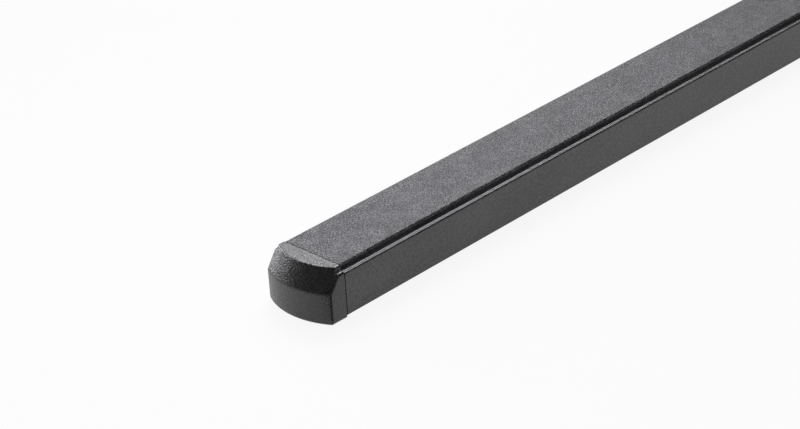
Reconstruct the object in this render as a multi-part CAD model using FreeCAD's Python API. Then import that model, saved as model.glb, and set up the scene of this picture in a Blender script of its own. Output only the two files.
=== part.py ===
import FreeCAD, Part
import math
import os
from FreeCAD import Vector

# Roof rack crossbar: a rectangular steel tube in a black polymer sleeve, with a
# grained load pad keyed into the sleeve's top and a moulded cap pressed into each end.
# X runs along the bar, Y across it and Z up. The origin is on the ground, under the
# middle of the bar, which rests on the undersides of its two caps.

# Steel tube
tube_length = 1250.0
tube_width = 34.0
tube_height = 16.0
tube_wall = 1.5
tube_corner_radius = 2.5
weld_bead_width = 2.4
weld_bead_height = 0.4

# Polymer sleeve
bore_clearance = 0.1
sleeve_side_wall = 2.3
sleeve_floor_wall = 1.9
sleeve_roof_wall = 1.6
sleeve_setback = 0.6
sleeve_foot_radius = 0.4
shoulder_step = 0.8
shoulder_lip_radius = 0.9
cove_radius = 2.0
cove_run = 1.05

# Load pad
pad_rise = 3.3
pad_inset = 2.75
pad_setback = 0.4
pad_edge_thickness = 1.4
pad_edge_radius = 0.9
pad_under_radius = 0.3
pad_overhang = 0.5
pad_key_width = 22.0
pad_key_flare = 1.0
pad_key_clearance = 0.1

# End cap, outside
cap_side_proud = 0.1
cap_shoulder_proud = 0.8
cap_drop = 1.3
cap_nose_reach = 13.8
cap_nose_setback = 5.4
cap_brow_reach = 8.25
cap_brow_setback = 7.3
cap_side_draw = 0.2
cap_ridge_height = 13.4
cap_ridge_radius = 2.5
cap_rim_radius = 1.15
cap_shoulder_radius = 1.4
cap_foot_radius = 1.4
cap_plateau_radius = 1.0
cap_plateau_proud = 0.7
cap_cove_radius = 0.7

# End cap, inside
cap_wall = 2.2
seat_rib_thickness = 1.6
seat_rib_spacing = 16.0
plug_reach = 24.0
plug_wall = 1.8
plug_clearance = 0.35
plug_lead_in = 0.8
crush_rib_width = 1.2
crush_rib_gap = 0.05
crush_rib_setback = 2.0
weld_relief_margin = 0.8

# Places worked out from the sizes above
sleeve_bottom = cap_drop
tube_bottom = sleeve_bottom + sleeve_floor_wall + bore_clearance
tube_top = tube_bottom + tube_height
pad_seat = tube_top + bore_clearance + sleeve_roof_wall
shoulder_top = pad_seat + shoulder_step
pad_top = shoulder_top + pad_rise
pad_ledge = pad_top - pad_edge_thickness
sleeve_half_width = tube_width / 2.0 + bore_clearance + sleeve_side_wall
pad_half_width = sleeve_half_width - pad_inset
ledge_half_width = pad_half_width - pad_overhang
bore_half_width = tube_width / 2.0 - tube_wall
bore_bottom = tube_bottom + tube_wall
bore_top = tube_top - tube_wall
plug_half_width = bore_half_width - plug_clearance
plug_bottom = bore_bottom + plug_clearance
plug_top = bore_top - plug_clearance
plug_corner_radius = max(tube_corner_radius - tube_wall, 0.0) + plug_clearance
ridge_level = sleeve_bottom + cap_ridge_height
cap_half_width = sleeve_half_width + cap_side_proud

# Numbers that are no size of the bar
touching = 1e-6
fillet_share = 0.98
spare = 1.0


def corner_reaches(points, radii):
    """Return how far each rounded corner runs back along its two edges."""
    reaches = []
    for index, at in enumerate(points):
        before = points[index - 1] - at
        after = points[(index + 1) % len(points)] - at
        reaches.append(radii[index] / math.tan(before.getAngle(after) / 2.0))
    for index in range(len(points)):
        following = (index + 1) % len(points)
        wanted = reaches[index] + reaches[following]
        length = (points[following] - points[index]).Length
        if wanted > fillet_share * length:
            reaches[index] *= fillet_share * length / wanted
            reaches[following] *= fillet_share * length / wanted
    return reaches


def outline(corners):
    """Return a face across the bar from (y, z, radius) corners, rounded where asked."""
    points = [Vector(0, y, z) for y, z, radius in corners]
    reaches = corner_reaches(points, [radius for y, z, radius in corners])
    edges = []
    for index, at in enumerate(points):
        following = (index + 1) % len(points)
        before = (points[index - 1] - at).normalize()
        after = (points[following] - at).normalize()
        enter = at + before * reaches[index]
        leave = at + after * reaches[index]
        if reaches[index] > touching:
            half_angle = before.getAngle(after) / 2.0
            radius = reaches[index] * math.tan(half_angle)
            inward = (before + after).normalize()
            middle = at + inward * (radius / math.sin(half_angle) - radius)
            edges.append(Part.Arc(enter, middle, leave).toShape())
        next_enter = points[following] - after * reaches[following]
        edges.append(Part.LineSegment(leave, next_enter).toShape())
    return Part.Face(Part.Wire(edges))


def both_sides(half):
    """Return a closed list of corners from the ones on the +Y side, bottom to top."""
    return half + [(-y, z, radius) for y, z, radius in reversed(half)]


def rectangle(half_width, bottom, top, radius):
    """Return a rectangle across the bar with one radius at its corners."""
    return outline(both_sides([(half_width, bottom, radius), (half_width, top, radius)]))


def along(face, start, end):
    """Return a face, drawn at x = 0, swept along the bar from start to end."""
    swept = face.extrude(Vector(end - start, 0, 0))
    swept.translate(Vector(start, 0, 0))
    return swept


def block(x_limits, y_limits, z_limits):
    """Return a box between the given limits."""
    low = Vector(x_limits[0], y_limits[0], z_limits[0])
    high = Vector(x_limits[1], y_limits[1], z_limits[1])
    size = high - low
    return Part.makeBox(size.x, size.y, size.z, low)


def core_tube():
    """Return the welded rectangular tube, with the bead inside its floor."""
    half = tube_length / 2.0
    bore_radius = max(tube_corner_radius - tube_wall, 0.0)
    skin = rectangle(tube_width / 2.0, tube_bottom, tube_top, tube_corner_radius)
    bore = rectangle(bore_half_width, bore_bottom, bore_top, bore_radius)
    tube = along(skin, -half, half).cut(along(bore, -half, half))
    root = bore_bottom - tube_wall / 2.0
    crest = bore_bottom + weld_bead_height
    bead = rectangle(weld_bead_width / 2.0, root, crest, weld_bead_height / 2.0)
    return tube.fuse(along(bead, -half, half)).removeSplitter()


def sleeve():
    """Return the jacket: a cove on each shoulder, and a dovetail groove for the pad."""
    half = tube_length / 2.0 - sleeve_setback
    groove = pad_key_width / 2.0 + pad_key_clearance
    skin = outline(both_sides([
        (sleeve_half_width, sleeve_bottom, sleeve_foot_radius),
        (sleeve_half_width, shoulder_top, shoulder_lip_radius),
        (ledge_half_width + cove_run, shoulder_top, cove_radius),
        (ledge_half_width, pad_ledge, 0.0),
        (groove, pad_ledge, 0.0),
        (groove + pad_key_flare, pad_seat, 0.0),
    ]))
    bore = rectangle(
        tube_width / 2.0 + bore_clearance,
        tube_bottom - bore_clearance,
        tube_top + bore_clearance,
        tube_corner_radius + bore_clearance,
    )
    return along(skin, -half, half).cut(along(bore, -half, half))


def top_pad():
    """Return the load pad: a rounded strip with a dovetail key under it."""
    half = tube_length / 2.0 - pad_setback
    key = pad_key_width / 2.0
    strip = outline(both_sides([
        (key + pad_key_flare, pad_seat, 0.0),
        (key, pad_ledge, 0.0),
        (pad_half_width, pad_ledge, pad_under_radius),
        (pad_half_width, pad_top, pad_edge_radius),
    ]))
    return along(strip, -half, half)


def arc_radius(setback):
    """Return the radius of an arc that falls back by setback at the cap's sides."""
    return (cap_half_width * cap_half_width + setback * setback) / (2.0 * setback)


def nose_plan(level, reach, radius, half_width):
    """Return the cap's plan at one level: an arc in front and a square back."""
    back = reach - 2.0 * radius
    edge = reach - radius + math.sqrt(radius * radius - half_width * half_width)
    left = Vector(edge, -half_width, level)
    right = Vector(edge, half_width, level)
    front = Part.Arc(left, Vector(reach, 0, level), right).toShape()
    corners = [right, Vector(back, half_width, level), Vector(back, -half_width, level), left]
    lines = [Part.LineSegment(a, b).toShape() for a, b in zip(corners, corners[1:])]
    return Part.Wire([front] + lines)


def nose(inset):
    """Return the space behind the cap's face: upright to the ridge, then sloping back."""
    low = -spare
    high = pad_top + spare
    slope = (high - ridge_level) / (pad_top - ridge_level)
    nose_radius = arc_radius(cap_nose_setback)
    brow_radius = arc_radius(cap_brow_setback)
    high_reach = cap_nose_reach + (cap_brow_reach - cap_nose_reach) * slope
    high_radius = nose_radius + (brow_radius - nose_radius) * slope
    half_width = cap_half_width + spare - inset
    ridge = nose_plan(ridge_level, cap_nose_reach - inset, nose_radius - inset, half_width)
    brow = nose_plan(high, high_reach - inset, high_radius - inset, half_width)
    upright = Part.Face(ridge).extrude(Vector(0, 0, low - ridge_level))
    sloping = Part.makeLoft([ridge, brow], True, True)
    return upright.fuse(sloping).removeSplitter()


def is_ridge(edge):
    """Return whether an edge is the curved ridge across the cap's face."""
    box = edge.BoundBox
    level = abs(box.ZMin - ridge_level) < touching and abs(box.ZMax - ridge_level) < touching
    return level and box.XMin > 0.0 and box.YLength > sleeve_half_width


def is_rim(edge):
    """Return whether an edge of the solid cap runs round its front face."""
    box = edge.BoundBox
    from_seat = box.XMin < touching
    across_face = box.YLength > 2.0 * pad_half_width and box.ZMin > sleeve_bottom + spare
    return not (from_seat or across_face)


def cap_section(inset, softness, drawn_in):
    """Return the cap's outline, set in all round and then drawn in at its sides."""
    half_width = cap_half_width - inset - drawn_in
    plateau = pad_half_width + cap_plateau_proud - inset
    shoulder = shoulder_top + cap_shoulder_proud - inset
    return outline(both_sides([
        (half_width, inset, cap_foot_radius * softness),
        (half_width, shoulder, cap_shoulder_radius * softness),
        (plateau, shoulder, cap_cove_radius),
        (plateau, pad_top - inset, cap_plateau_radius * softness),
    ]))


def cap_body(inset, softness):
    """Return the cap's space behind its nose: its sides draw in towards the front."""
    length = cap_nose_reach + spare
    drawn_in = cap_side_draw * length / cap_nose_reach
    seat = cap_section(inset, softness, 0.0).OuterWire
    front = cap_section(inset, softness, drawn_in).OuterWire
    front.translate(Vector(length, 0, 0))
    return Part.makeLoft([seat, front], True, True)


def cap_shell():
    """Return the cap's outer wall: rounded outside, hollow and open at the back."""
    rounded_nose = nose(0.0)
    ridge = [edge for edge in rounded_nose.Edges if is_ridge(edge)]
    rounded_nose = rounded_nose.makeFillet(cap_ridge_radius, ridge)
    solid = cap_body(0.0, 1.0).common(rounded_nose)
    solid = solid.makeFillet(cap_rim_radius, [edge for edge in solid.Edges if is_rim(edge)])
    return solid.cut(cap_body(cap_wall, 0.3).common(nose(cap_wall)))


def behind_face(shape):
    """Return what lies behind the middle of the cap's face wall."""
    return shape.common(nose(cap_wall / 2.0))


def plug():
    """Return the square tube on the cap's back that is pressed into the steel tube."""
    skin = rectangle(plug_half_width, plug_bottom, plug_top, plug_corner_radius)
    solid = along(skin, -plug_reach, 2.0 * cap_nose_reach)
    tip = [edge for edge in solid.Edges if edge.BoundBox.XMax < -plug_reach + touching]
    solid = behind_face(solid.makeChamfer(plug_lead_in, tip))
    core = rectangle(
        plug_half_width - plug_wall,
        plug_bottom + plug_wall,
        plug_top - plug_wall,
        max(plug_corner_radius - plug_wall, 0.0),
    )
    core = along(core, -plug_reach, 2.0 * cap_nose_reach).common(nose(cap_wall))
    relief_half_width = weld_bead_width / 2.0 + weld_relief_margin
    relief_top = bore_bottom + weld_bead_height + weld_relief_margin
    relief = block(
        (-plug_reach, 0.0),
        (-relief_half_width, relief_half_width),
        (bore_bottom, relief_top),
    )
    return solid.cut(core).cut(relief)


def crush_ribs():
    """Return the small ribs on the plug that take up the play in the steel tube."""
    run = (-plug_reach + crush_rib_setback, -crush_rib_setback)
    root = plug_wall / 2.0
    top = (plug_top - root, bore_top - crush_rib_gap)
    bottom = (bore_bottom + crush_rib_gap, plug_bottom + root)
    side = (plug_half_width - root, bore_half_width - crush_rib_gap)
    other_side = (-side[1], -side[0])
    middle = (plug_bottom + plug_top) / 2.0
    waist = (middle - crush_rib_width / 2.0, middle + crush_rib_width / 2.0)
    ribs = [block(run, side, waist), block(run, other_side, waist)]
    for place in (-seat_rib_spacing / 2.0, seat_rib_spacing / 2.0):
        across = (place - crush_rib_width / 2.0, place + crush_rib_width / 2.0)
        ribs.append(block(run, across, top))
        ribs.append(block(run, across, bottom))
    return ribs


def seat_ribs():
    """Return the ribs inside the cap whose back edges stop against the tube's end."""
    run = (0.0, 2.0 * cap_nose_reach)
    root = plug_wall / 2.0
    within = cap_body(cap_wall / 2.0, 0.3)
    middle = (plug_bottom + plug_top) / 2.0
    waist = (middle - seat_rib_thickness / 2.0, middle + seat_rib_thickness / 2.0)
    ribs = [
        block(run, (plug_half_width - root, cap_half_width), waist),
        block(run, (-cap_half_width, -plug_half_width + root), waist),
    ]
    for place in (-seat_rib_spacing / 2.0, seat_rib_spacing / 2.0):
        across = (place - seat_rib_thickness / 2.0, place + seat_rib_thickness / 2.0)
        ribs.append(block(run, across, (plug_top - root, pad_top)))
        ribs.append(block(run, across, (0.0, plug_bottom + root)))
    return [behind_face(rib.common(within)) for rib in ribs]


def end_cap(side):
    """Return one cap in its place: side is +1 for the +X end and -1 for the -X end."""
    cap = cap_shell().fuse([plug()] + crush_ribs() + seat_ribs())
    cap = cap.removeSplitter()
    if side < 0:
        cap.rotate(Vector(0, 0, 0), Vector(0, 0, 1), 180)
    cap.translate(Vector(side * tube_length / 2.0, 0, 0))
    return cap


def pieces():
    """Return each piece of the bar by name."""
    return {
        "core_tube": core_tube(),
        "sleeve": sleeve(),
        "top_pad": top_pad(),
        "end_cap_left": end_cap(-1),
        "end_cap_right": end_cap(1),
    }


os.makedirs("parts", exist_ok=True)
for name, shape in pieces().items():
    shape.exportStep("parts/" + name + ".step")
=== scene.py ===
"""A roof rack crossbar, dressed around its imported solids.

Sizes inside the classes are in millimetres, in the bar's own frame: X along the bar,
Y across it, Z up from the ground. MM turns them into the scene's metres.
"""
import logging
import math
from dataclasses import dataclass
from enum import Enum
from typing import Any, Optional, Sequence, Union

import bpy
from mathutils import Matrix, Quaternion, Vector


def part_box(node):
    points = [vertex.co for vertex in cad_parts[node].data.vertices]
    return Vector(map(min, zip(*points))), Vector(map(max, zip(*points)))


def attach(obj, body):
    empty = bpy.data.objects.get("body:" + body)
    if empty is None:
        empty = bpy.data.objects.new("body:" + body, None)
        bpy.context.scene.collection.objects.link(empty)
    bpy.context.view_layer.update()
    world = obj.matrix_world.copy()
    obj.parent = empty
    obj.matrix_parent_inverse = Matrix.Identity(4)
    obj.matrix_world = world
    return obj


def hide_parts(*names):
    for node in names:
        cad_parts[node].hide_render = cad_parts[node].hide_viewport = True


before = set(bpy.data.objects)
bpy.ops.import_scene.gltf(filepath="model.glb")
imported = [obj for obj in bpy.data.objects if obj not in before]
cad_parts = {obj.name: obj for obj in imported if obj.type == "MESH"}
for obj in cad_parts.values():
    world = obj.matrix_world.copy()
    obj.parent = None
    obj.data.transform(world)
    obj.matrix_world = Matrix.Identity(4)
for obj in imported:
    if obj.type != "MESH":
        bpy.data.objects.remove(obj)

MM = 0.001
MERGE_DISTANCE = 1e-6
CREASE_DEGREES = 32.0
OPEN_BEAM = 180.0
LOG = logging.getLogger("crossbar")
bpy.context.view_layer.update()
BODY = "root"

Colour = tuple[float, float, float, float]
Point = tuple[float, float, float]
Loop = Sequence["Corner"]

COOL: Point = (0.96, 0.96, 1.0)
WHITE: Point = (1.0, 1.0, 1.0)


class Sum(Enum):
    """What a Math node works out."""

    ADD = "ADD"
    SUBTRACT = "SUBTRACT"
    MULTIPLY = "MULTIPLY"
    GREATER = "GREATER_THAN"


def node_box(node: str) -> tuple[Vector, Vector]:
    """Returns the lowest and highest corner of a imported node, in millimetres.

    Args:
        node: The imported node's name.

    Returns:
        Two corners.
    """
    low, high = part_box(node)
    return low / MM, high / MM


class Value:
    """A socket that can be used in arithmetic; each operator adds its Math node."""

    def __init__(self, shader: "Shader", socket: bpy.types.NodeSocket) -> None:
        """Wraps a socket of a shader."""
        self.shader = shader
        self.socket = socket

    def _math(self, operation: Sum, first: Any, second: Any) -> "Value":
        """Returns the result of one Math node."""
        settings = {"operation": operation.value}
        return self.shader.value("ShaderNodeMath", settings, {0: first, 1: second})

    def __add__(self, other: Any) -> "Value":
        """Returns self + other."""
        return self._math(Sum.ADD, self, other)

    __radd__ = __add__

    def __sub__(self, other: Any) -> "Value":
        """Returns self - other."""
        return self._math(Sum.SUBTRACT, self, other)

    def __rsub__(self, other: Any) -> "Value":
        """Returns other - self."""
        return self._math(Sum.SUBTRACT, other, self)

    def __mul__(self, other: Any) -> "Value":
        """Returns self * other."""
        return self._math(Sum.MULTIPLY, self, other)

    def ramp(self, low: float, high: float, start: float = 0.0, end: float = 1.0) -> "Value":
        """Returns the value eased from start to end as it goes from low to high."""
        settings = {"interpolation_type": "SMOOTHSTEP"}
        sockets = {"Value": self, "From Min": low, "From Max": high, "To Min": start, "To Max": end}
        return self.shader.value("ShaderNodeMapRange", settings, sockets)


class Shader:
    """The node tree of one material, with one method that makes any node."""

    def __init__(self, name: str) -> None:
        """Starts an empty material."""
        self.material = bpy.data.materials.new(name)
        self.material.use_nodes = True
        self.tree = self.material.node_tree
        self.tree.nodes.clear()

    def node(self, kind: str, settings: dict[str, Any], sockets: dict[Any, Any]) -> bpy.types.Node:
        """Makes a node.

        Args:
            kind: The node's type.
            settings: Its own properties, set first.
            sockets: Values or links by socket name or number.

        Returns:
            The new node.
        """
        made = self.tree.nodes.new(kind)
        for key, setting in settings.items():
            setattr(made, key, setting)
        for key, wanted in sockets.items():
            socket = made.inputs[key]
            if isinstance(wanted, Value):
                self.tree.links.new(wanted.socket, socket)
            else:
                socket.default_value = wanted
        return made

    def value(
        self,
        kind: str,
        settings: dict[str, Any],
        sockets: dict[Any, Any],
        output: Union[int, str] = 0,
    ) -> Value:
        """Makes a node and returns one of its outputs."""
        return Value(self, self.node(kind, settings, sockets).outputs[output])

    def place(self) -> Value:
        """Returns the place on the object, in millimetres."""
        metres = self.value("ShaderNodeTexCoord", {}, {}, "Object")
        sockets = {0: metres, "Scale": 1.0 / MM}
        return self.value("ShaderNodeVectorMath", {"operation": "SCALE"}, sockets)

    def stretched(self, place: Value, along: float, across: float) -> Value:
        """Returns a place squeezed along the bar and across it, for drawn-out patterns."""
        sockets = {0: place, 1: (along, across, across)}
        return self.value("ShaderNodeVectorMath", {"operation": "MULTIPLY"}, sockets)

    def cloud(self, place: Value, size_mm: float, detail: float = 2.0, rough: float = 0.5) -> Value:
        """Returns soft noise about 0.5, with lumps of the given size."""
        sockets = {"Vector": place, "Scale": 1.0 / size_mm, "Detail": detail, "Roughness": rough}
        return self.value("ShaderNodeTexNoise", {"noise_dimensions": "3D"}, sockets)

    def pebbles(self, place: Value, size_mm: float, softness: float = 0.6) -> Value:
        """Returns rounded cells: 0 in their middles and larger at their borders."""
        settings = {"feature": "SMOOTH_F1", "voronoi_dimensions": "3D"}
        sockets = {"Vector": place, "Scale": 1.0 / size_mm, "Smoothness": softness}
        return self.value("ShaderNodeTexVoronoi", settings, sockets, "Distance")

    def blend(self, factor: Value, first: Colour, second: Colour) -> Value:
        """Returns a colour between two, by the factor."""
        settings = {"data_type": "RGBA", "blend_type": "MIX"}
        mixed = self.node("ShaderNodeMix", settings, {0: factor, 6: first, 7: second})
        return Value(self, mixed.outputs[2])

    def bump(self, height: Value, depth_mm: float, strength: float, under: Optional[Value] = None) -> Value:
        """Returns a normal raised by a height pattern."""
        sockets: dict[Any, Any] = {"Height": height, "Distance": depth_mm * MM, "Strength": strength}
        if under is not None:
            sockets["Normal"] = under
        return self.value("ShaderNodeBump", {}, sockets, "Normal")

    def surface(self, sockets: dict[Any, Any]) -> bpy.types.Material:
        """Ends the tree in one Principled surface and returns the material."""
        shaded = self.value("ShaderNodeBsdfPrincipled", {}, sockets)
        self.node("ShaderNodeOutputMaterial", {}, {"Surface": shaded})
        return self.material


@dataclass(frozen=True)
class PadRubber:
    """The pad's soft dark strip with its pebbled, leathery grain."""

    low: Colour = (0.004, 0.004, 0.005, 1.0)
    high: Colour = (0.170, 0.165, 0.176, 1.0)
    pebble_mm: float = 0.75
    grit_mm: float = 0.45
    patch_mm: float = 7.0
    relief_mm: float = 0.16
    bump_strength: float = 0.9
    pebble_share: float = 0.45
    patch_share: float = 0.1
    roughness: float = 0.42
    roughness_swing: float = 0.3

    def material(self) -> bpy.types.Material:
        """Returns the pad's material."""
        shader = Shader("pad_rubber")
        place = shader.place()
        pebble = shader.pebbles(place, self.pebble_mm)
        grit = shader.cloud(place, self.grit_mm, 2.0)
        patch = shader.cloud(place, self.patch_mm, 3.0)
        crown = 1.0 - pebble.ramp(0.15, 0.75)
        height = crown * self.pebble_share + grit.ramp(0.3, 0.7) * (1.0 - self.pebble_share)
        mottle = patch.ramp(0.35, 0.65) * self.patch_share
        tone = (height * (1.0 - self.patch_share) + mottle).ramp(0.34, 0.82)
        rough = self.roughness - (tone - 0.5) * self.roughness_swing
        return shader.surface({
            "Base Color": shader.blend(tone, self.low, self.high),
            "Roughness": rough,
            "Normal": shader.bump(height, self.relief_mm, self.bump_strength),
            "IOR": 1.5,
        })


@dataclass(frozen=True)
class SleevePolymer:
    """The sleeve's satin black plastic, with the faint lines of its die."""

    low: Colour = (0.006, 0.006, 0.007, 1.0)
    high: Colour = (0.080, 0.078, 0.083, 1.0)
    grit_mm: float = 0.9
    line_mm: float = 0.5
    line_run: float = 0.02
    patch_mm: float = 14.0
    relief_mm: float = 0.06
    roughness: float = 0.31

    def material(self) -> bpy.types.Material:
        """Returns the sleeve's material."""
        shader = Shader("sleeve_polymer")
        place = shader.place()
        grit = shader.cloud(place, self.grit_mm, 3.0, 0.6)
        lines = shader.cloud(shader.stretched(place, self.line_run, 1.0), self.line_mm, 2.0)
        patch = shader.cloud(shader.stretched(place, 0.3, 1.0), self.patch_mm, 3.0)
        tone = (grit * 0.7 + patch * 0.3).ramp(0.35, 0.65)
        rough = self.roughness + (grit - 0.5) * 0.12 + (lines - 0.5) * 0.08 + (patch - 0.5) * 0.08
        normal = shader.bump(lines, self.relief_mm * 0.2, 0.5)
        return shader.surface({
            "Base Color": shader.blend(tone, self.low, self.high),
            "Roughness": rough,
            "Normal": shader.bump(grit, self.relief_mm, 0.7, normal),
            "IOR": 1.58,
        })


@dataclass(frozen=True)
class CapPolymer:
    """The caps' satin black moulding, with the fine spark texture of its tool."""

    low: Colour = (0.005, 0.005, 0.005, 1.0)
    high: Colour = (0.026, 0.026, 0.027, 1.0)
    spark_mm: float = 0.6
    grit_mm: float = 0.4
    patch_mm: float = 5.0
    relief_mm: float = 0.2
    roughness: float = 0.27

    def material(self) -> bpy.types.Material:
        """Returns the caps' material."""
        shader = Shader("cap_polymer")
        place = shader.place()
        spark = shader.pebbles(place, self.spark_mm, 0.4)
        grit = shader.cloud(place, self.grit_mm, 2.0)
        patch = shader.cloud(place, self.patch_mm, 3.0)
        height = (1.0 - spark.ramp(0.1, 0.8)) * 0.6 + grit * 0.6
        tone = (grit * 0.5 + patch * 0.5).ramp(0.3, 0.7)
        rough = self.roughness + (grit - 0.5) * 0.15 + (patch - 0.5) * 0.08
        return shader.surface({
            "Base Color": shader.blend(tone, self.low, self.high),
            "Roughness": rough,
            "Normal": shader.bump(height, self.relief_mm, 0.8),
            "IOR": 1.58,
        })


@dataclass(frozen=True)
class GalvanisedSteel:
    """The tube's zinc coat, with its pale crystal patches."""

    low: Colour = (0.42, 0.43, 0.45, 1.0)
    high: Colour = (0.62, 0.63, 0.65, 1.0)
    crystal_mm: float = 6.0
    grit_mm: float = 0.6
    relief_mm: float = 0.03
    roughness: float = 0.38

    def material(self) -> bpy.types.Material:
        """Returns the tube's material."""
        shader = Shader("galvanised_steel")
        place = shader.place()
        crystal = shader.pebbles(place, self.crystal_mm, 0.1)
        grit = shader.cloud(place, self.grit_mm, 3.0)
        tone = (crystal + grit * 0.4).ramp(0.1, 1.0)
        return shader.surface({
            "Base Color": shader.blend(tone, self.low, self.high),
            "Metallic": 1.0,
            "Roughness": self.roughness + (grit - 0.5) * 0.2 + (crystal - 0.4) * 0.15,
            "Normal": shader.bump(grit, self.relief_mm, 0.5),
        })


@dataclass(frozen=True)
class Corner:
    """One corner of a section across the bar, rounded to a radius."""

    y: float
    z: float
    radius: float = 0.0


def both_sides(half: Loop) -> list[Corner]:
    """Closes a list of corners on the +Y side, bottom to top, with its mirror image."""
    return list(half) + [Corner(-c.y, c.z, c.radius) for c in reversed(half)]


class SectionSweep:
    """A Geometry Nodes tree that rounds a section's corners and sweeps it along the bar."""

    def __init__(self) -> None:
        """Builds the tree once, with named inputs for its sizes."""
        self.tree = bpy.data.node_groups.new("section_sweep", "GeometryNodeTree")
        self.inputs: dict[str, str] = {}
        self._socket("Section", "NodeSocketGeometry")
        self._socket("Length", "NodeSocketFloat")
        self._socket("Corner Steps", "NodeSocketInt")
        self._socket("Crease Angle", "NodeSocketFloat")
        self._socket("Finish", "NodeSocketMaterial")
        self.tree.interface.new_socket("Bar", in_out="OUTPUT", socket_type="NodeSocketGeometry")
        self._build()

    def _socket(self, name: str, kind: str) -> None:
        """Adds a named input and keeps its identifier."""
        made = self.tree.interface.new_socket(name, in_out="INPUT", socket_type=kind)
        self.inputs[name] = made.identifier

    def _node(self, kind: str, settings: dict[str, Any], sockets: dict[Any, Any]) -> bpy.types.Node:
        """Makes a node; a socket given as another node's output is linked."""
        made = self.tree.nodes.new(kind)
        for key, setting in settings.items():
            setattr(made, key, setting)
        for key, wanted in sockets.items():
            if isinstance(wanted, bpy.types.NodeSocket):
                self.tree.links.new(wanted, made.inputs[key])
            else:
                made.inputs[key].default_value = wanted
        return made

    def _build(self) -> None:
        """Wires the section's rounding, its sweep and its finish."""
        given = self._node("NodeGroupInput", {}, {}).outputs
        loops = self._node("GeometryNodeMeshToCurve", {}, {"Mesh": given["Section"]})
        radius = self._node("GeometryNodeInputNamedAttribute", {"data_type": "FLOAT"}, {"Name": "radius"})
        rounded = self._node("GeometryNodeFilletCurve", {"mode": "POLY"}, {
            "Curve": loops.outputs["Curve"],
            "Count": given["Corner Steps"],
            "Radius": radius.outputs["Attribute"],
            "Limit Radius": True,
        })
        end = self._node("GeometryNodeFillCurve", {"mode": "TRIANGLES"}, {
            "Curve": rounded.outputs["Curve"],
        })
        swept = self._node("GeometryNodeExtrudeMesh", {"mode": "FACES"}, {
            "Mesh": end.outputs["Mesh"],
            "Offset Scale": given["Length"],
            "Individual": False,
        })
        start = self._node("GeometryNodeFlipFaces", {}, {"Mesh": end.outputs["Mesh"]})
        joined = self._node("GeometryNodeJoinGeometry", {}, {})
        self.tree.links.new(swept.outputs["Mesh"], joined.inputs[0])
        self.tree.links.new(start.outputs["Mesh"], joined.inputs[0])
        closed = self._node("GeometryNodeMergeByDistance", {}, {
            "Geometry": joined.outputs["Geometry"],
            "Distance": MERGE_DISTANCE,
        })
        halving = {"operation": Sum.MULTIPLY.value}
        half = self._node("ShaderNodeMath", halving, {0: given["Length"], 1: -0.5})
        back = self._node("ShaderNodeCombineXYZ", {}, {"X": half.outputs[0]})
        lying = self._node("GeometryNodeTransform", {}, {
            "Geometry": closed.outputs["Geometry"],
            "Translation": back.outputs["Vector"],
            "Rotation": (math.pi / 2.0, 0.0, math.pi / 2.0),
        })
        smooth = self._node("GeometryNodeSetShadeSmooth", {"domain": "FACE"}, {
            "Geometry": lying.outputs["Geometry"],
            "Shade Smooth": True,
        })
        angle = self._node("GeometryNodeInputMeshEdgeAngle", {}, {})
        crease = self._node("ShaderNodeMath", {"operation": Sum.GREATER.value}, {
            0: angle.outputs["Unsigned Angle"],
            1: given["Crease Angle"],
        })
        creased = self._node("GeometryNodeSetShadeSmooth", {"domain": "EDGE"}, {
            "Geometry": smooth.outputs["Geometry"],
            "Selection": crease.outputs[0],
            "Shade Smooth": False,
        })
        real = self._node("GeometryNodeRealizeInstances", {}, {"Geometry": creased.outputs["Geometry"]})
        finished = self._node("GeometryNodeSetMaterial", {}, {
            "Geometry": real.outputs["Geometry"],
            "Material": given["Finish"],
        })
        self._node("NodeGroupOutput", {}, {0: finished.outputs["Geometry"]})

    def section_mesh(self, name: str, loops: Sequence[Loop]) -> bpy.types.Mesh:
        """Draws closed loops of corners flat, with each corner's radius as an attribute.

        Args:
            name: The mesh's name.
            loops: The outline first, then any bore.

        Returns:
            A mesh of edges, with Y drawn as X and Z drawn as Y.
        """
        points: list[tuple[float, float, float]] = []
        edges: list[tuple[int, int]] = []
        radii: list[float] = []
        for loop in loops:
            first = len(points)
            for index, corner in enumerate(loop):
                points.append((corner.y * MM, corner.z * MM, 0.0))
                edges.append((first + index, first + (index + 1) % len(loop)))
                radii.append(corner.radius * MM)
        mesh = bpy.data.meshes.new(name)
        mesh.from_pydata(points, edges, [])
        attribute = mesh.attributes.new("radius", "FLOAT", "POINT")
        attribute.data.foreach_set("value", radii)
        return mesh

    def make(
        self,
        name: str,
        loops: Sequence[Loop],
        length_mm: float,
        finish: bpy.types.Material,
        corner_steps: int = 10,
    ) -> bpy.types.Object:
        """Sweeps a section along the bar, centred on the frame's middle.

        Args:
            name: The piece's name.
            loops: The outline first, then any bore.
            length_mm: The piece's length.
            finish: Its material.
            corner_steps: Faces in each rounded corner.

        Returns:
            A plain mesh object at the origin.
        """
        piece = bpy.data.objects.new(name, self.section_mesh(name, loops))
        bpy.context.scene.collection.objects.link(piece)
        sweep = piece.modifiers.new("sweep", "NODES")
        sweep.node_group = self.tree
        sweep[self.inputs["Length"]] = length_mm * MM
        sweep[self.inputs["Corner Steps"]] = corner_steps
        sweep[self.inputs["Crease Angle"]] = math.radians(CREASE_DEGREES)
        sweep[self.inputs["Finish"]] = finish
        settle(piece)
        normals = piece.modifiers.new("even_normals", "WEIGHTED_NORMAL")
        normals.keep_sharp = True
        settle(piece)
        return piece


def settle(piece: bpy.types.Object) -> None:
    """Turns a piece's evaluated shape into its own plain mesh and drops its modifiers."""
    bpy.context.view_layer.update()
    graph = bpy.context.evaluated_depsgraph_get()
    mesh = bpy.data.meshes.new_from_object(piece.evaluated_get(graph), depsgraph=graph)
    piece.modifiers.clear()
    piece.data = mesh


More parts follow.
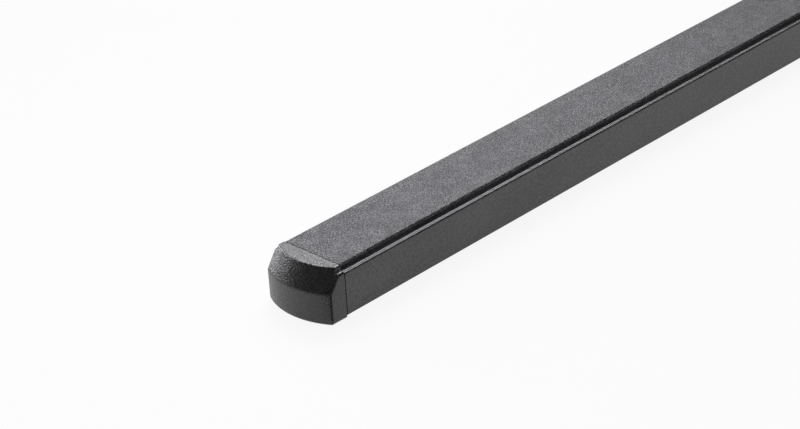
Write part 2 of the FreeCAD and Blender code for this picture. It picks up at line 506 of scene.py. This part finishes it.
@dataclass(frozen=True)
class Dovetail:
    """The pad's key and the sleeve's groove round it."""

    width: float = 22.0
    flare: float = 1.0
    clearance: float = 0.1


@dataclass
class Jacket:
    """The polymer sleeve: shoulders with a cove each, and the pad's dovetail groove."""

    sweep: SectionSweep
    finish: bpy.types.Material
    foot_radius: float = 0.4
    lip_radius: float = 0.9
    cove_radius: float = 2.0
    cove_run: float = 1.05
    pad_rise: float = 3.3
    pad_overhang: float = 0.5
    dovetail: Dovetail = Dovetail()
    bore_clearance: float = 0.1
    tube_radius: float = 2.5

    def outline(self) -> list[Corner]:
        """Returns the sleeve's outside, from the frame's boxes and the named radii."""
        low, high = node_box("sleeve")
        pad_low, pad_high = node_box("top_pad")
        shoulder = pad_high.z - self.pad_rise
        ledge = pad_high.y - self.pad_overhang
        groove = self.dovetail.width / 2.0 + self.dovetail.clearance
        return both_sides([
            Corner(high.y, low.z, self.foot_radius),
            Corner(high.y, shoulder, self.lip_radius),
            Corner(ledge + self.cove_run, shoulder, self.cove_radius),
            Corner(ledge, high.z),
            Corner(groove, high.z),
            Corner(groove + self.dovetail.flare, pad_low.z),
        ])

    def bore(self) -> list[Corner]:
        """Returns the sleeve's inside, a clearance away from the steel tube."""
        low, high = node_box("core_tube")
        gap = self.bore_clearance
        radius = self.tube_radius + gap
        return both_sides([
            Corner(high.y + gap, low.z - gap, radius),
            Corner(high.y + gap, high.z + gap, radius),
        ])

    def build(self) -> bpy.types.Object:
        """Makes the sleeve and puts it on the bar's body."""
        low, high = node_box("sleeve")
        loops = [self.outline(), self.bore()]
        piece = self.sweep.make("sleeve_jacket", loops, high.x - low.x, self.finish)
        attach(piece, BODY)
        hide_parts("sleeve")
        return piece


@dataclass
class LoadPad:
    """The soft strip on top, with its rounded edges and dovetail key."""

    sweep: SectionSweep
    finish: bpy.types.Material
    edge_radius: float = 0.9
    under_radius: float = 0.3
    dovetail: Dovetail = Dovetail()

    def outline(self) -> list[Corner]:
        """Returns the strip's section, from the frame's boxes and the named radii."""
        low, high = node_box("top_pad")
        ledge = node_box("sleeve")[1].z
        key = self.dovetail.width / 2.0
        return both_sides([
            Corner(key + self.dovetail.flare, low.z),
            Corner(key, ledge),
            Corner(high.y, ledge, self.under_radius),
            Corner(high.y, high.z, self.edge_radius),
        ])

    def build(self) -> bpy.types.Object:
        """Makes the strip and puts it on the bar's body."""
        low, high = node_box("top_pad")
        piece = self.sweep.make("pad_strip", [self.outline()], high.x - low.x, self.finish)
        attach(piece, BODY)
        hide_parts("top_pad")
        return piece


@dataclass
class PackedPieces:
    """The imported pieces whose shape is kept: the steel tube and the two caps."""

    steel: bpy.types.Material
    cap: bpy.types.Material

    def dress(self) -> list[str]:
        """Gives each kept piece its finish and returns their names."""
        finishes = {"core_tube": self.steel, "end_cap_left": self.cap, "end_cap_right": self.cap}
        for name, finish in finishes.items():
            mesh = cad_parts[name].data
            mesh.materials.clear()
            mesh.materials.append(finish)
        return list(finishes)


@dataclass
class Softbox:
    """A rectangular lamp that faces a point on the bar."""

    name: str
    azimuth: float
    elevation: float
    distance_mm: float
    width_mm: float
    height_mm: float
    brightness: float
    aim_mm: Point
    spread: float = OPEN_BEAM
    tint: Point = WHITE

    def build(self) -> None:
        """Hangs the lamp at its distance from the point it faces.

        A narrower beam is brighter along its middle for the same energy, so the energy
        is cut by that gain and the brightness stays the lamp's own.
        """
        data = bpy.data.lights.new(self.name, "AREA")
        data.shape = "RECTANGLE"
        data.size = self.width_mm * MM
        data.size_y = self.height_mm * MM
        data.color = self.tint
        data.energy = self.brightness * math.pi * data.size * data.size_y
        if self.spread < OPEN_BEAM:
            half = math.radians(self.spread) / 2.0
            data.spread = half * 2.0
            data.energy *= 1.0 - half / math.tan(half)
        lamp = bpy.data.objects.new(self.name, data)
        bpy.context.scene.collection.objects.link(lamp)
        across = math.radians(self.azimuth)
        up = math.radians(self.elevation)
        towards = Vector((
            math.cos(across) * math.cos(up),
            math.sin(across) * math.cos(up),
            math.sin(up),
        ))
        lamp.location = (Vector(self.aim_mm) + towards * self.distance_mm) * MM
        lamp.rotation_euler = towards.to_track_quat("Z", "Y").to_euler()


@dataclass
class Studio:
    """The pale floor, the even surroundings, the lamps and the camera."""

    floor_reach_mm: float = 9000.0
    floor_colour: Colour = (0.86, 0.86, 0.86, 1.0)
    paper_white: float = 1.0
    paper_share: float = 0.9
    surroundings: float = 0.10
    card_reach_mm: float = 60.0
    card_inset_mm: float = 5.0
    card_gap_mm: float = 1.0
    card_lift_mm: float = 0.2
    card_turns: tuple[float, ...] = (186.0, 210.0, 230.0, 255.0, 280.0, 296.0)
    near_mm: Point = (-740.0, 0.0, 10.0)
    far_mm: Point = (450.0, 0.0, 10.0)
    cap_mm: Point = (-640.0, 0.0, 12.0)
    sensor_mm: float = 36.0
    lens_mm: float = 106.7
    camera_back_mm: float = 593.3
    camera_aside_mm: float = 655.4
    camera_up_mm: float = 507.6
    azimuth: float = -44.66
    elevation: float = 27.92
    roll: float = 3.59

    def floor(self) -> None:
        """Lays a floor that reads as white paper but keeps the bar's shadow."""
        reach = self.floor_reach_mm * MM
        mesh = bpy.data.meshes.new("floor")
        signs = [(-1, -1), (1, -1), (1, 1), (-1, 1)]
        corners = [(across * reach, along * reach, 0.0) for across, along in signs]
        mesh.from_pydata(corners, [], [(0, 1, 2, 3)])
        floor = bpy.data.objects.new("floor", mesh)
        bpy.context.scene.collection.objects.link(floor)
        shader = Shader("floor_paper")
        path = shader.node("ShaderNodeLightPath", {}, {})
        seen = Value(shader, path.outputs["Is Camera Ray"]) + Value(shader, path.outputs["Is Glossy Ray"])
        seen = seen + Value(shader, path.outputs["Is Transmission Ray"])
        lit = shader.value("ShaderNodeBsdfDiffuse", {}, {"Color": self.floor_colour})
        glow = shader.value("ShaderNodeEmission", {}, {"Strength": self.paper_white})
        factor = seen.ramp(0.0, 1.0, 0.0, self.paper_share)
        mixed = shader.value("ShaderNodeMixShader", {}, {0: factor, 1: lit, 2: glow})
        shader.node("ShaderNodeOutputMaterial", {}, {"Surface": mixed})
        mesh.materials.append(shader.material)

    def dark_reflection_card(self) -> None:
        """Lays a black card by the near corner, seen only where the cap mirrors it: a painted dark
        reflection along the cap's near corner.
        """
        low = node_box("end_cap_left")[0]
        corner = Vector((low.x + self.card_inset_mm, low.y - self.card_gap_mm, self.card_lift_mm))
        points = [corner]
        for turn in map(math.radians, self.card_turns):
            points.append(corner + Vector((math.cos(turn), math.sin(turn), 0.0)) * self.card_reach_mm)
        mesh = bpy.data.meshes.new("dark_reflection_card")
        mesh.from_pydata([tuple(point * MM) for point in points], [], [tuple(range(len(points)))])
        dark_reflection_card = bpy.data.objects.new("dark_reflection_card", mesh)
        bpy.context.scene.collection.objects.link(dark_reflection_card)
        # Black with no light of its own, so it shows only as a painted dark reflection in the cap's gloss.
        shader = Shader("painted_dark_reflection")
        dark = shader.value("ShaderNodeEmission", {}, {"Strength": 0.0})
        shader.node("ShaderNodeOutputMaterial", {}, {"Surface": dark})
        mesh.materials.append(shader.material)
        # Hidden from camera, diffuse, transmission and shadow rays, so the card only paints a dark
        # reflection on the cap.
        dark_reflection_card.visible_camera = False
        dark_reflection_card.visible_diffuse = False
        dark_reflection_card.visible_transmission = False
        dark_reflection_card.visible_shadow = False

    def world(self) -> None:
        """Surrounds the bar with an even grey."""
        world = bpy.data.worlds.new("surroundings")
        world.use_nodes = True
        background = world.node_tree.nodes["Background"]
        grey = self.surroundings
        background.inputs["Color"].default_value = (grey, grey, grey, 1.0)
        background.inputs["Strength"].default_value = 1.0
        bpy.context.scene.world = world

    def lamps(self) -> None:
        """Hangs the soft lamps; their beams are kept to the stretch of bar each one lights."""
        boxes = (
            Softbox(
                "overhead", azimuth=90.0, elevation=84.0, distance_mm=1600.0,
                width_mm=1400.0, height_mm=1500.0, brightness=1.0, aim_mm=self.near_mm, spread=64.0,
            ),
            Softbox(
                "far_half", azimuth=90.0, elevation=70.0, distance_mm=1600.0,
                width_mm=1400.0, height_mm=1500.0, brightness=1.6, aim_mm=self.far_mm, spread=56.0,
            ),
            Softbox(
                "behind", azimuth=56.0, elevation=33.0, distance_mm=1700.0, tint=COOL,
                width_mm=1200.0, height_mm=1000.0, brightness=8.6, aim_mm=self.near_mm, spread=40.0,
            ),
            Softbox(
                "along", azimuth=26.0, elevation=48.0, distance_mm=1600.0, tint=COOL,
                width_mm=700.0, height_mm=1200.0, brightness=16.0, aim_mm=self.near_mm, spread=42.0,
            ),
            Softbox(
                "rim", azimuth=91.5, elevation=12.0, distance_mm=1490.0, tint=COOL,
                width_mm=600.0, height_mm=560.0, brightness=20.0, aim_mm=self.cap_mm, spread=40.0,
            ),
        )
        for box in boxes:
            box.build()

    def camera(self) -> None:
        """Places the camera where the photograph was taken from."""
        seam = node_box("core_tube")[0].x
        base = node_box("sleeve")[0].z
        data = bpy.data.cameras.new("camera")
        data.sensor_width = self.sensor_mm
        data.lens = self.lens_mm
        data.clip_start = 0.01
        data.clip_end = 100.0
        camera = bpy.data.objects.new("camera", data)
        bpy.context.scene.collection.objects.link(camera)
        place = (seam - self.camera_back_mm, -self.camera_aside_mm, self.camera_up_mm + base)
        camera.location = Vector(place) * MM
        turn = math.radians(self.azimuth)
        lift = math.radians(self.elevation)
        back = Vector((
            math.sin(turn) * math.cos(lift),
            -math.cos(turn) * math.cos(lift),
            math.sin(lift),
        ))
        level = (-back).to_track_quat("-Z", "Y")
        tilt = Quaternion((0.0, 0.0, 1.0), -math.radians(self.roll))
        camera.rotation_mode = "QUATERNION"
        camera.rotation_quaternion = level @ tilt
        bpy.context.scene.camera = camera

    def build(self) -> None:
        """Sets up everything around the bar."""
        self.floor()
        self.dark_reflection_card()
        self.world()
        self.lamps()
        self.camera()
        bpy.context.scene.view_settings.view_transform = "Standard"


def main() -> None:
    """Builds the bar, piece by piece, and the studio around it."""
    logging.basicConfig(level=logging.INFO, format="%(name)s: %(message)s")
    sweep = SectionSweep()
    jacket = Jacket(sweep, SleevePolymer().material()).build()
    LOG.info("%s has %d faces", jacket.name, len(jacket.data.polygons))
    pad = LoadPad(sweep, PadRubber().material()).build()
    LOG.info("%s has %d faces", pad.name, len(pad.data.polygons))
    for name in PackedPieces(GalvanisedSteel().material(), CapPolymer().material()).dress():
        LOG.info("%s keeps its packed shape", name)
    Studio().build()


if __name__ == "__main__":
    main()
